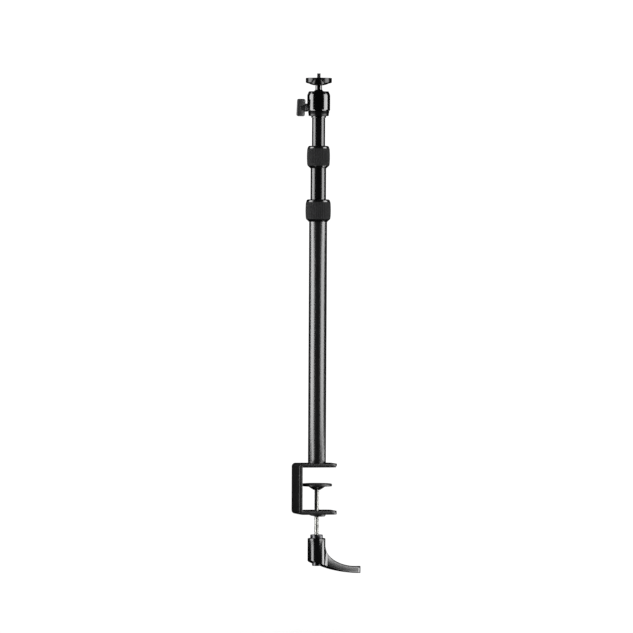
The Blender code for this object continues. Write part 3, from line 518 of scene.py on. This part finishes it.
# %% Screw boss and its bores
BOSS_R = 0.0152
boss = as_object("screw_boss", spun([(0, BOSS_END), (BOSS_R, BOSS_END), (BOSS_R, LOWER_BASE + 0.002),
                                     (0, LOWER_BASE + 0.002)], 96))
ramps = rounded([
    (-BOSS_R - 0.002, LOWER_BASE - 0.0002, 0), (-BOSS_R, LOWER_BASE - 0.0002, 0), (-0.0046, BOSS_END, 0.0060),
    (0.0110, BOSS_END, 0.0020), (BOSS_R, LOWER_BASE - 0.0002, 0), (BOSS_R + 0.002, LOWER_BASE - 0.0002, 0),
    (BOSS_R + 0.002, LOWER_BASE + 0.02, 0), (-BOSS_R - 0.002, LOWER_BASE + 0.02, 0)], steps=8)
combine(boss, as_object("boss_ramps", prism(ramps, -0.02, 0.02, "Y")), "INTERSECT")
combine(clamp_body, boss, "UNION")
combine(clamp_body, as_object("screw_bore", spun([
    (0, BOSS_END - 0.01), (SCREW_R + FIT_GAP, BOSS_END - 0.01), (SCREW_R + FIT_GAP, LOWER_TOP + 0.01),
    (0, LOWER_TOP + 0.01)], 48)), "DIFFERENCE")
combine(clamp_body, as_object("bolt_bore", spun([
    (0, UPPER_BASE - 0.002), (0.0059, UPPER_BASE - 0.002), (0.0059, UPPER_BASE + 0.0031),
    (0.0033, UPPER_BASE + 0.0031), (0.0033, UPPER_TOP + 0.002), (0, UPPER_TOP + 0.002)], 48)), "DIFFERENCE")
fit(clamp_body, "clamp", "coated_metal", "clamp_bracket")

# %% [markdown]
# ## Rubber under the upper jaw
#
# A thin pad is glued under the upper arm, so that the steel doesn't mark the desk. It is a flat moulding
# with softly rounded edges: one prism and one bevel.

# %% Jaw pad
pad_low, pad_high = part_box("jaw_pad")
pad_plan = rounded([(pad_low[0], pad_low[1], 0.0010), (pad_high[0], pad_low[1], 0.0093),
                    (pad_high[0], pad_high[1], 0.0093), (pad_low[0], pad_high[1], 0.0010)], steps=8)
pad_bm = prism(pad_plan, pad_low[2], pad_high[2])
soften(pad_bm, 0.0003, 50, 2)
fit(as_object("jaw_rubber", pad_bm, black_rubber), "clamp", "rubber", "jaw_pad")

# %% [markdown]
# ## The pressure pad
#
# The round pad under the desk is a turned disc with a funnel below it, which holds the screw's swivel
# end. It is spun from one outline, and the rubber disc sits in a shallow well in its top.

# %% Pressure pad
press_low, press_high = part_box("pressure_pad")
PRESS_R = press_high[0]
RIM_TOP = press_high[2]
CONE_END = press_low[2]
RIM_BASE = RIM_TOP - 0.0040
rubber_low, rubber_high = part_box("pressure_pad_rubber")
WELL_R = rubber_high[0] + FIT_GAP
press_outline = rounded([
    (0, rubber_low[2] - FIT_GAP, 0), (WELL_R, rubber_low[2] - FIT_GAP, 0), (WELL_R, RIM_TOP, 0.0002),
    (PRESS_R, RIM_TOP, 0.0005), (PRESS_R, RIM_BASE, 0.0009), (0.0150, RIM_BASE, 0.0014),
    (0.0100, CONE_END + 0.0028, 0.0030), (0.0055, CONE_END, 0.0005), (0.0043, CONE_END, 0),
    (0.0043, CONE_END + 0.0012, 0), (0.0049, CONE_END + 0.0012, 0), (0.0049, RIM_BASE - 0.0006, 0),
    (0, RIM_BASE - 0.0006, 0)], steps=5)
fit(as_object("pressure_disc", spun(press_outline, 128), clamp_coat), "pressure_pad", "coated_metal",
    "pressure_pad")
disc_outline = rounded([(0, rubber_low[2], 0), (rubber_high[0], rubber_low[2], 0.0002),
                        (rubber_high[0], rubber_high[2], 0.0005), (0, rubber_high[2], 0)])
fit(as_object("pressure_disc_rubber", spun(disc_outline, 128), black_rubber), "pressure_pad", "rubber",
    "pressure_pad_rubber")

# %% [markdown]
# ## Threads
#
# A thread is one tooth profile that climbs as it turns. `spin` does just that when it is also given a
# small step along the axis: after one full turn the profile has climbed one pitch and meets itself, so
# merging the doubled points closes the surface. Two plane cuts make the ends square.

# %% Thread helper


def threaded_rod(radius, depth, pitch, low, high, sides):
    bm = bmesh.new()
    root = radius - depth
    profile = []
    turns = math.ceil((high - low) / pitch) + 3
    for turn in range(turns):
        base = low - 1.5 * pitch + turn * pitch
        profile += [(root, base), (root, base + 0.12 * pitch), (radius, base + 0.45 * pitch),
                    (radius, base + 0.60 * pitch), ]
    profile.append((root, low - 1.5 * pitch + turns * pitch))
    points = [bm.verts.new((r, 0, z)) for r, z in profile]
    edges = [bm.edges.new(pair) for pair in zip(points, points[1:])]
    bmesh.ops.spin(bm, geom=points + edges, cent=(0, 0, 0), axis=(0, 0, 1), dvec=(0, 0, pitch / sides),
                   angle=FULL_TURN, steps=sides, use_merge=False)
    bmesh.ops.remove_doubles(bm, verts=bm.verts[:], dist=1e-6)
    for height, direction in ((low, -1), (high, 1)):
        geometry = bm.verts[:] + bm.edges[:] + bm.faces[:]
        bmesh.ops.bisect_plane(bm, geom=geometry, plane_co=(0, 0, height), plane_no=(0, 0, direction),
                               clear_outer=True)
        rim = [e for e in bm.edges if e.is_boundary and all(abs(v.co.z - height) < 1e-7 for v in e.verts)]
        bmesh.ops.edgeloop_fill(bm, edges=rim)
    bmesh.ops.recalc_face_normals(bm, faces=bm.faces[:])
    return bm


# %% Clamp screw
screw_low, screw_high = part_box("clamp_screw")
NECK_END = CONE_END - FIT_GAP
screw = as_object("screw_thread", threaded_rod(SCREW_R, 0.00062, 0.00125, screw_low[2], NECK_END, 32), bright_zinc)
swivel_outline = rounded([
    (0, NECK_END - 0.0015, 0), (0.0030, NECK_END - 0.0015, 0), (0.0032, CONE_END + 0.0015, 0),
    (0.0046, CONE_END + 0.0017, 0.0002), (0.0046, screw_high[2], 0.0006), (0, screw_high[2], 0)])
combine(screw, as_object("swivel_end", spun(swivel_outline, 48)), "UNION")
tap_low = screw_low[2]
tap_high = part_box("retaining_screw")[1][2] + FIT_GAP
combine(screw, as_object("tap_hole", spun([(0, tap_low - 0.002), (0.0028, tap_low - 0.002), (0.0028, tap_high),
                                           (0, tap_high)], 32)), "DIFFERENCE")
fit(screw, "spindle", "steel", "clamp_screw")

# %% [markdown]
# ## The lever
#
# The clamping lever is a casting: a round hub with a slanted foot, which drops over a toothed insert, and
# a curved arm that narrows to its tip. The hub is turned, cut and bevelled. The arm is lofted through
# rounded rectangles, one at each station along it, because a casting has no sharp edge; a wide fillet
# leads it out of the hub.

# %% Toothed insert
insert_low, insert_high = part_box("lever_insert")
INSERT_TOP = insert_high[2]
INSERT_END = insert_low[2]
INSERT_R = 0.0105
SHANK_R = 0.0080
COLLAR_BASE = INSERT_TOP - 0.0056
TEETH = 20
TOOTH_TIP_R = 0.0092
TOOTH_HEIGHT = 0.0035
insert_outline = rounded([
    (SCREW_R + FIT_GAP, INSERT_END, 0), (SHANK_R, INSERT_END, 0), (SHANK_R, COLLAR_BASE, 0),
    (INSERT_R, COLLAR_BASE, 0.0003), (INSERT_R, INSERT_TOP, 0.0008), (SCREW_R + FIT_GAP, INSERT_TOP, 0.0002)])
insert = as_object("insert_collar", spun(insert_outline, 96), black_oxide)


def tooth_outline(root_r, tip_r):
    points = []
    for index in range(TEETH * 2):
        radius = tip_r if index % 2 else root_r
        angle = math.pi * index / TEETH
        points.append((radius * math.cos(angle), radius * math.sin(angle)))
    return points


def round_cutter(name, radius, low, high, sides=64):
    return as_object(name, spun([(0, low), (radius, low), (radius, high), (0, high)], sides))


teeth = as_object("insert_teeth",
                  prism(tooth_outline(SHANK_R - 0.0004, TOOTH_TIP_R), INSERT_END, INSERT_END + TOOTH_HEIGHT))
combine(teeth, round_cutter("teeth_bore", 0.0053, INSERT_END - 0.001, INSERT_END + 0.005, 48), "DIFFERENCE")
combine(insert, teeth, "UNION")
fit(insert, "spindle", "steel", "lever_insert")

# %% Lever casting
lever_low, lever_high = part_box("lever_handle")
HUB_R = 0.0149
LEVER_REACH = 0.0877
HUB_TOP = lever_high[2]
FOOT_LEFT = HUB_TOP - 0.0376
FOOT_SLOPE = 0.360
TIP_BASE = lever_low[2]
TIP_TOP = TIP_BASE + 0.0118
HEEL_Z = FOOT_LEFT - FOOT_SLOPE * 2 * HUB_R
HALF_ARM = 0.0095
ARM_TAPER = 0.059              # how fast the half width falls with the distance
TIP_CORNER_R = 0.0090
TIP_NOSE = 0.0004              # half width of the tip's end
ARM_EDGE_R = 0.0026
EDGE_STEPS = 5
HUB_FILLET_R = 0.0165
HEADING = math.radians(18)     # one tooth of the insert
ROOT_X = 0.0116                # here the arm's top meets the hub's wall
INSIDE_X = 0.0080              # and here, inside the hub, the loft starts
PAST_HUB = 0.002

hub_side = [(-HUB_R - PAST_HUB, HUB_TOP), (-HUB_R - PAST_HUB, FOOT_LEFT + FOOT_SLOPE * PAST_HUB),
            (HUB_R + PAST_HUB, HEEL_Z - FOOT_SLOPE * PAST_HUB), (HUB_R + PAST_HUB, HUB_TOP)]
lever = round_cutter("lever_casting", HUB_R, TIP_BASE - 0.01, HUB_TOP, 96)
lever.data.materials.append(lever_coat)
combine(lever, as_object("lever_foot", prism(hub_side, -0.02, 0.02, "Y")), "INTERSECT")
soften_object(lever, 0.0014, 35, 4)

under = bezier((HUB_R, HEEL_Z), (0.0330, HEEL_Z - 0.0065), (0.0600, TIP_BASE + 0.0002), (LEVER_REACH, TIP_BASE), 28)
over = bezier((LEVER_REACH, TIP_TOP), (0.0500, TIP_TOP - 0.0013), (0.0160, HUB_TOP - 0.0356),
              (ROOT_X, HUB_TOP - 0.0145), 32)
under_line = [(INSIDE_X, HEEL_Z + FOOT_SLOPE * (HUB_R - INSIDE_X) + 0.0010), *under]
over_line = [(INSIDE_X, HUB_TOP - 0.0040), *reversed(over)]


def arm_flank():
    """The arm's half width from above: a concave fillet against the hub, a taper and a rounded tip."""
    fillet_y = HALF_ARM + HUB_FILLET_R
    fillet_x = math.sqrt((HUB_R + HUB_FILLET_R) ** 2 - fillet_y ** 2)
    touch = math.atan2(fillet_y, fillet_x)
    points = [(INSIDE_X, HUB_R * math.sin(touch) - 0.0001)]
    for step in range(1, 13):
        angle = touch + math.pi + (math.pi / 2 - touch) * step / 12
        points.append((fillet_x + HUB_FILLET_R * math.cos(angle), fillet_y + HUB_FILLET_R * math.sin(angle)))
    tip_half = HALF_ARM - ARM_TAPER * (LEVER_REACH - fillet_x)
    tip_turn = math.acos(1 - (tip_half - TIP_NOSE) / TIP_CORNER_R)
    length = LEVER_REACH - TIP_CORNER_R * math.sin(tip_turn) - fillet_x
    for step in range(1, 25):
        along = length * step / 24
        points.append((fillet_x + along, HALF_ARM - ARM_TAPER * along))
    start_x, start_y = points[-1]
    for step in range(1, 11):
        angle = tip_turn * step / 10
        points.append((start_x + TIP_CORNER_R * math.sin(angle), start_y - TIP_CORNER_R * (1 - math.cos(angle))))
    return points


def value_at(line, x):
    """Read a line of (x, value) points, which runs towards +X, at one x."""
    for (x0, v0), (x1, v1) in zip(line, line[1:]):
        if x <= x1:
            return v0 + (v1 - v0) * (x - x0) / max(x1 - x0, 1e-9)
    return line[-1][1]


def section(half, low, high):
    """A rounded rectangle in Y, Z."""
    radius = min(ARM_EDGE_R, 0.45 * (high - low), 0.9 * half)
    points = []
    for side_y, middle_z, start in ((1, low + radius, -90), (1, high - radius, 0), (-1, high - radius, 90),
                                    (-1, low + radius, 180)):
        for step in range(EDGE_STEPS + 1):
            angle = math.radians(start + 90 * step / EDGE_STEPS)
            points.append((side_y * (half - radius) + radius * math.cos(angle), middle_z + radius * math.sin(angle)))
    return points


# %% Loft the arm and join it to the hub
flank = arm_flank()
stations = sorted({round(x, 6) for x, _ in flank + over_line})
arm_bm = bmesh.new()
rings = []
for x in stations:
    outline = section(value_at(flank, x), value_at(under_line, x), value_at(over_line, x))
    rings.append([arm_bm.verts.new((x, y, z)) for y, z in outline])
for ring, following in zip(rings, rings[1:]):
    for index in range(len(ring)):
        arm_bm.faces.new((ring[index - 1], ring[index], following[index], following[index - 1]))
arm_bm.faces.new(rings[0])
arm_bm.faces.new(list(reversed(rings[-1])))
bmesh.ops.recalc_face_normals(arm_bm, faces=arm_bm.faces[:])
combine(lever, as_object("lever_arm", arm_bm, lever_coat), "UNION")
print("arm:", len(stations), "stations")

# %% Pockets in the lever's hub
WEB_TOP = HUB_TOP - 0.0144
WEB_BASE = WEB_TOP - 0.0060

combine(lever, round_cutter("tooth_pocket", TOOTH_TIP_R + FIT_GAP, INSERT_END + 0.0038, HUB_TOP + 0.001),
        "DIFFERENCE")
combine(lever, as_object("tooth_mesh", prism(tooth_outline(SHANK_R + FIT_GAP, TOOTH_TIP_R + 1.5 * FIT_GAP),
                                             WEB_TOP, INSERT_END + 0.0045)), "DIFFERENCE")
combine(lever, round_cutter("shank_hole", 0.0032, WEB_BASE - 0.001, WEB_TOP + 0.001), "DIFFERENCE")
combine(lever, round_cutter("retainer_well", 0.0076, TIP_BASE - 0.01, WEB_BASE), "DIFFERENCE")
lever.data.transform(Matrix.Rotation(HEADING, 4, "Z"))
fit(lever, "lever", "lever_metal", "lever_handle")

# %% Retaining screw, with a hexagon socket in its end
cap_low, cap_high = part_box("retaining_screw")
CAP_R = cap_high[0]
HEAD_TOP = -0.1500
cap_outline = rounded([
    (0, cap_low[2], 0), (CAP_R, cap_low[2], 0.0010), (CAP_R, HEAD_TOP, 0.0003), (0.0025, HEAD_TOP, 0),
    (0.0025, cap_high[2], 0.0003), (0, cap_high[2], 0)])
cap = as_object("retaining_cap", spun(cap_outline, 64), black_oxide)
hexagon = [(0.0030 * math.cos(math.pi * k / 3), 0.0030 * math.sin(math.pi * k / 3)) for k in range(6)]
combine(cap, as_object("hex_socket", prism(hexagon, cap_low[2] - 0.001, cap_low[2] + 0.0040)), "DIFFERENCE")
fit(cap, "spindle", "black_steel", "retaining_screw")

# %% [markdown]
# ## The ball head
#
# The head is turned aluminium: a screwed-on base ring, a housing that narrows towards its mouth, and the
# ball with its short neck. The groove between ring and housing is only a few tenths of a millimetre, so
# the two rounded edges beside it matter more than the gap.

# %% Cap and base ring
flange_low, flange_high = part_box("tube_cap")
CAP_FLANGE_R = flange_high[0]
FLANGE_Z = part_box("upper_tube")[1][2] + FIT_GAP
PLUG_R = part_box("upper_tube")[1][0] - TUBE_WALL - FIT_GAP
cap_flange = rounded([
    (0, flange_low[2], 0), (PLUG_R, flange_low[2], 0.0005), (PLUG_R, FLANGE_Z, 0), (CAP_FLANGE_R, FLANGE_Z, 0.0004),
    (CAP_FLANGE_R, FLANGE_Z + 0.0026, 0.0004), (0.003175, FLANGE_Z + 0.0026, 0), (0.003175, flange_high[2], 0.0004),
    (0, flange_high[2], 0)])
fit(as_object("tube_end_cap", spun(cap_flange, 96), head_gloss), "head", "anodised_head", "tube_cap")

ring_low, ring_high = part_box("head_base")
RING_Z = ring_low[2]
RING_TOP = RING_Z + 0.0084
RING_R = ring_high[0]
FOOT_R = RING_R - 0.0005
SPIGOT_R = 0.0153
SHADE_Z = RING_Z + 0.0036
ring_outline = rounded([
    (0.003475, RING_Z, 0), (FOOT_R - 0.0004, RING_Z, 0.0005), (FOOT_R, SHADE_Z, 0.0006),
    (RING_R, RING_Z + 0.0062, 0.0006), (RING_R, RING_TOP, 0.0004), (SPIGOT_R, RING_TOP, 0),
    (SPIGOT_R, ring_high[2], 0.0002),
    (0.003475, ring_high[2], 0)], steps=5)
base_ring = as_object("base_ring", spun(ring_outline, 128), ring_satin)
base_ring.data.materials.append(ring_shade)
for face in base_ring.data.polygons:
    if face.center.z > SHADE_Z:
        face.material_index = 1
fit(base_ring, "head", "anodised_head", "head_base")

# %% Housing
housing_low, housing_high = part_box("ball_housing")
HOUSING_R = 0.01915
HOUSING_Z = housing_low[2]
HOUSING_TOP = housing_high[2]
CAVITY_R = 0.0156
BALL_R = 0.0112
BALL_Z = HOUSING_Z + 0.0251
BALL_GAP_R = BALL_R + FIT_GAP
mouth_angle = math.asin((HOUSING_TOP - BALL_Z) / BALL_GAP_R)
start_angle = math.asin(-0.0030 / BALL_GAP_R)
hollow = []
for step in range(17):
    angle = mouth_angle + (start_angle - mouth_angle) * step / 16
    hollow.append((BALL_GAP_R * math.cos(angle), BALL_Z + BALL_GAP_R * math.sin(angle)))
shell = rounded([
    (CAVITY_R, HOUSING_Z, 0), (HOUSING_R - 0.0006, HOUSING_Z, 0.0003), (HOUSING_R, HOUSING_Z + 0.0016, 0.0020),
    (HOUSING_R, HOUSING_TOP - 0.0062, 0.0070),
    (HOUSING_R - 0.00265, HOUSING_TOP, 0.0012), (hollow[0][0], hollow[0][1], 0)], closed=False, steps=10)
shell = shell[:-1] + hollow + [(CAVITY_R, HOUSING_Z + 0.0186)]
housing = as_object("housing_shell", spun(shell, 160), head_gloss)
KNOB_Z = HOUSING_Z + 0.0051
KNOB_BORE_R = 0.0033
knob_place = Matrix.Translation((0, 0, KNOB_Z)) @ Matrix.Rotation(-math.pi / 2, 4, "Y")
knob_bore = round_cutter("knob_bore", KNOB_BORE_R, CAVITY_R - 0.002, HOUSING_R + 0.002, 48)
knob_bore.data.transform(knob_place)
combine(housing, knob_bore, "DIFFERENCE")
fit(housing, "head", "anodised_head", "ball_housing")

# %% Ball and neck
NECK_R = 0.0056
NECK_TOP = BALL_Z + 0.0171
THREAD_R = 0.003175
neck_angle = math.acos(NECK_R / BALL_R)
ball_outline = []
for step in range(33):
    angle = -math.pi / 2 + (neck_angle - 0.06 + math.pi / 2) * step / 32
    ball_outline.append((BALL_R * math.cos(angle), BALL_Z + BALL_R * math.sin(angle)))
ball_outline[0] = (0, BALL_Z - BALL_R)
neck_start = ball_outline[-1]
neck = rounded([(neck_start[0], neck_start[1], 0), (NECK_R, neck_start[1] + 0.0009, 0.0010),
                (NECK_R, NECK_TOP, 0.0004), (THREAD_R + FIT_GAP, NECK_TOP, 0)], closed=False)
well = NECK_TOP - 0.0083
ball_outline += neck[1:] + [(THREAD_R + FIT_GAP, well), (0, well)]
fit(as_object("ball_and_neck", spun(ball_outline, 96), head_gloss), "ball", "anodised_head", "ball_stem")

# %% [markdown]
# ## The wing knob
#
# The knob that locks the ball is one moulding: a round collar against the housing, a flat wing for finger
# and thumb, and a tapered boss that carries the screw through the wing. The pieces are made along Z,
# joined, turned by ten degrees, and laid along the knob's axis.

# %% Wing knob
KNOB_FACE = HOUSING_R + 0.0004
WING_BASE = KNOB_FACE + 0.0041
WING_TOP = WING_BASE + 0.0139
WING_HALF = 0.0145
KNOB_TURN = math.radians(-10)
wing_outline = rounded([
    (-WING_HALF, WING_BASE, 0.0028), (WING_HALF, WING_BASE, 0.0028), (WING_HALF, WING_TOP, 0.0028),
    (-WING_HALF, WING_TOP, 0.0028)], steps=8)
wing_bm = prism(wing_outline, -0.0025, 0.0025, "Y")
soften(wing_bm, 0.0011, 50, 3)
knob = as_object("wing_knob", wing_bm, knob_plastic)
hub_outline = rounded([
    (0, KNOB_FACE, 0), (0.00685, KNOB_FACE, 0.0003), (0.00685, WING_BASE, 0.0005),
    (0.0055, WING_BASE + 0.0004, 0.0003),
    (0.0035, WING_BASE + 0.0090, 0.0007), (0, WING_BASE + 0.0090, 0)])
combine(knob, as_object("knob_hub", spun(hub_outline, 64)), "UNION")
combine(knob, round_cutter("knob_well", KNOB_BORE_R, KNOB_FACE - 0.002, 0.0303), "DIFFERENCE")
knob.data.transform(knob_place @ Matrix.Rotation(KNOB_TURN, 4, "Z"))
fit(knob, "knob", "lock_plastic", "lock_knob")

# %% [markdown]
# ## The camera plate
#
# The plate is turned with a sloping underside, and three finger scoops are milled into its edge from
# below. They leave a thin round flange on top. Each scoop is a flaring cone that a Boolean takes away.

# %% Plate
plate_low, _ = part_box("top_plate")
PLATE_Z = plate_low[2]
PLATE_R = 0.0218
PLATE_H = 0.0122
PLATE_TOP = PLATE_Z + PLATE_H
ring_pad_low, ring_pad_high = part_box("plate_pad")
RECESS_Z = ring_pad_low[2] - FIT_GAP
PAD_R = 0.0204
plate_outline = rounded([
    (THREAD_R + FIT_GAP, PLATE_Z, 0), (0.0080, PLATE_Z, 0.0004), (0.0125, PLATE_Z + 0.0011, 0.0020),
    (0.0164, PLATE_Z + 0.0027, 0.0020), (PLATE_R - 0.0006, PLATE_Z + 0.0040, 0.0004),
    (PLATE_R, PLATE_Z + 0.0048, 0.0004),
    (PLATE_R, PLATE_TOP, 0.0006), (PAD_R + FIT_GAP, PLATE_TOP, 0.0002), (PAD_R + FIT_GAP, RECESS_Z, 0),
    (THREAD_R + FIT_GAP, RECESS_Z, 0)], steps=5)
plate = as_object("scooped_plate", spun(plate_outline, 160), plate_satin)
SCOOPS = 3
SCOOP_HEADING = math.radians(-90 - 19)
SCOOP_HUB_R = 0.0095
SCOOP_R = 0.0094
SCOOP_FLARE = 0.0062
FLANGE_H = 0.0030
for index in range(SCOOPS):
    scoop = bmesh.new()
    for height, radius in ((PLATE_H - FLANGE_H, SCOOP_R), (-0.001, SCOOP_R + SCOOP_FLARE)):
        circle = bmesh.ops.create_circle(scoop, cap_ends=False, radius=radius, segments=96)
        bmesh.ops.translate(scoop, verts=circle["verts"], vec=(SCOOP_HUB_R + radius, 0, PLATE_Z + height))
    bmesh.ops.bridge_loops(scoop, edges=scoop.edges[:])
    bmesh.ops.holes_fill(scoop, edges=scoop.edges[:], sides=0)
    bmesh.ops.recalc_face_normals(scoop, faces=scoop.faces[:])
    bmesh.ops.rotate(scoop, verts=scoop.verts[:], cent=(0, 0, 0),
                     matrix=Matrix.Rotation(SCOOP_HEADING + index * FULL_TURN / SCOOPS, 3, "Z"))
    combine(plate, as_object(f"scoop_{index + 1}", scoop), "DIFFERENCE")
fit(plate, "plate", "anodised_head", "top_plate")

# %% Rubber ring and camera screw
PAD_IN_R = 0.0050
pad_base, pad_top = ring_pad_low[2], ring_pad_high[2]
ring_corners = [(PAD_IN_R, pad_base, 0), (PAD_R, pad_base, 0), (PAD_R, pad_top, 0.0003)]
for groove in (0.0178, 0.0144, 0.0110, 0.0076):
    ring_corners += [(groove + 0.0005, pad_top, 0), (groove + 0.0002, pad_top - 0.0003, 0),
                     (groove - 0.0002, pad_top - 0.0003, 0), (groove - 0.0005, pad_top, 0)]
ring_corners.append((PAD_IN_R, pad_top, 0.0003))
fit(as_object("plate_rubber", spun(rounded(ring_corners), 96), black_rubber), "plate", "rubber", "plate_pad")

stud_low, stud_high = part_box("camera_stud")
stud = as_object("stud_thread", threaded_rod(THREAD_R, 0.00055, 0.00127, stud_low[2], stud_high[2], 48),
                 black_oxide)
nose = as_object("stud_nose", spun([(0, stud_low[2] - 0.001), (0.0045, stud_low[2] - 0.001),
                                    (0.0045, stud_high[2] - 0.0018), (0.0022, stud_high[2] + 0.0005),
                                    (0, stud_high[2] + 0.0005)], 64))
combine(stud, nose, "INTERSECT")
fit(stud, "ball", "black_steel", "camera_stud")

# %% [markdown]
# ## Light and floor
#
# Black cylinders show nothing but what stands beside them. Tall soft boxes left and right of the pole draw
# the two pale stripes along it; they count in reflections only. The white surroundings and the floor light
# the matte pieces but stay out of the reflections, as if black cards stood in front of them.

# %% Lights
LIGHT_DISTANCE = 0.70


def strip_light(name, heading_deg, angle_deg, low, high, brightness):
    """A tall soft box that spans an angle as the pole sees it, at a heading from the camera's direction."""
    angle = VIEW_AZIMUTH + math.radians(heading_deg)
    out = Vector((math.sin(angle), -math.cos(angle), 0))
    data = bpy.data.lights.new(name, "AREA")
    data.shape = "RECTANGLE"
    data.size = 2 * LIGHT_DISTANCE * math.tan(math.radians(angle_deg) / 2)
    data.size_y = high - low
    data.energy = brightness * data.size * data.size_y
    lamp = bpy.data.objects.new(name, data)
    bpy.context.scene.collection.objects.link(lamp)
    lamp.location = out * LIGHT_DISTANCE + Vector((0, 0, (low + high) / 2))
    lamp.rotation_euler = (-out).to_track_quat("-Z", "Y").to_euler()
    lamp.visible_camera = False
    lamp.visible_diffuse = False
    return lamp


# The clamp and lever, the pole and the head each have a pair, turned a little to follow the stripes. There
# is a small gap under the pole's pair.
strip_light("left_box_low", -55, 30, -0.75, -0.08, 40)
strip_light("right_box_low", 95, 34, -0.75, -0.08, 40)
strip_light("left_box_middle", -70, 48, -0.06, 0.44, 40)
strip_light("right_box_middle", 64, 46, -0.06, 0.44, 34)
strip_light("left_box_high", -80, 42, 0.44, 1.10, 40)
strip_light("right_box_high", 76, 40, 0.44, 1.10, 40)

world = bpy.data.worlds.new("white_room")
world.use_nodes = True
background = world.node_tree.nodes["Background"]
background.inputs["Color"].default_value = (1, 1, 1, 1)
background.inputs["Strength"].default_value = 1.08
bpy.context.scene.world = world
world.cycles_visibility.glossy = False
bpy.context.scene.view_settings.view_transform = "Standard"

FLOOR_DROP = 0.10
FLOOR_R = 6.0
floor_bm = bmesh.new()
bmesh.ops.create_circle(floor_bm, cap_ends=True, radius=FLOOR_R, segments=96)
bmesh.ops.translate(floor_bm, verts=floor_bm.verts[:], vec=(0, 0, cad_low[2] - FLOOR_DROP))
floor_paint, _, floor_shader = new_finish("pale_floor", 0.9, specular=0.0)
floor_shader.inputs["Base Color"].default_value = (0.97, 0.97, 0.97, 1)
floor = as_object("floor", floor_bm, floor_paint)
floor.visible_glossy = False
